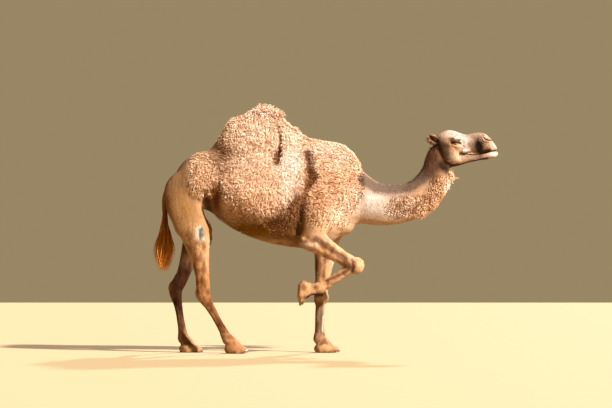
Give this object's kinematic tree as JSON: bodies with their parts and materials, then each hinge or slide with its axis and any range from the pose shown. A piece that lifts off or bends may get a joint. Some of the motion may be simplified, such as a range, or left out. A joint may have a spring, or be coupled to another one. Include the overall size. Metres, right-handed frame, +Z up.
{
  "type": "dromedary camel",
  "caption": "Life-size model of a one-humped camel standing with one forefoot lifted back, neck stretched forward and head level.",
  "frame": {"origin": "on the floor, under the middle of the whole animal's box", "axes": "+X from the tail towards the nose, +Y to the camel's left, +Z up; the three standing soles lie in the plane z = 0"},
  "size_m": [2.8158, 0.6322, 2.0094],
  "materials": {
    "coat": "short sandy coat, woolly on the hump, barrel and shoulders",
    "tail_hair": "long coarse brown hair",
    "toenail": "dull dark horn",
    "eye": "wet, almost black"
  },
  "bodies": {
    "root": {"trunk": "coat", "hump": "coat", "neck": "coat", "head": "coat", "ear_left": "coat", "ear_right": "coat", "tail": "coat", "foreleg_left": "coat", "foreleg_right": "coat", "hindleg_left": "coat", "hindleg_right": "coat", "forefoot_left": "coat", "forefoot_right": "coat", "hindfoot_left": "coat", "hindfoot_right": "coat", "tail_tuft": "tail_hair", "forefoot_left_nail_inner": "toenail", "forefoot_left_nail_outer": "toenail", "forefoot_right_nail_inner": "toenail", "forefoot_right_nail_outer": "toenail", "hindfoot_left_nail_inner": "toenail", "hindfoot_left_nail_outer": "toenail", "hindfoot_right_nail_inner": "toenail", "hindfoot_right_nail_outer": "toenail", "eye_left": "eye", "eye_right": "eye"}
  },
  "joints": []
}
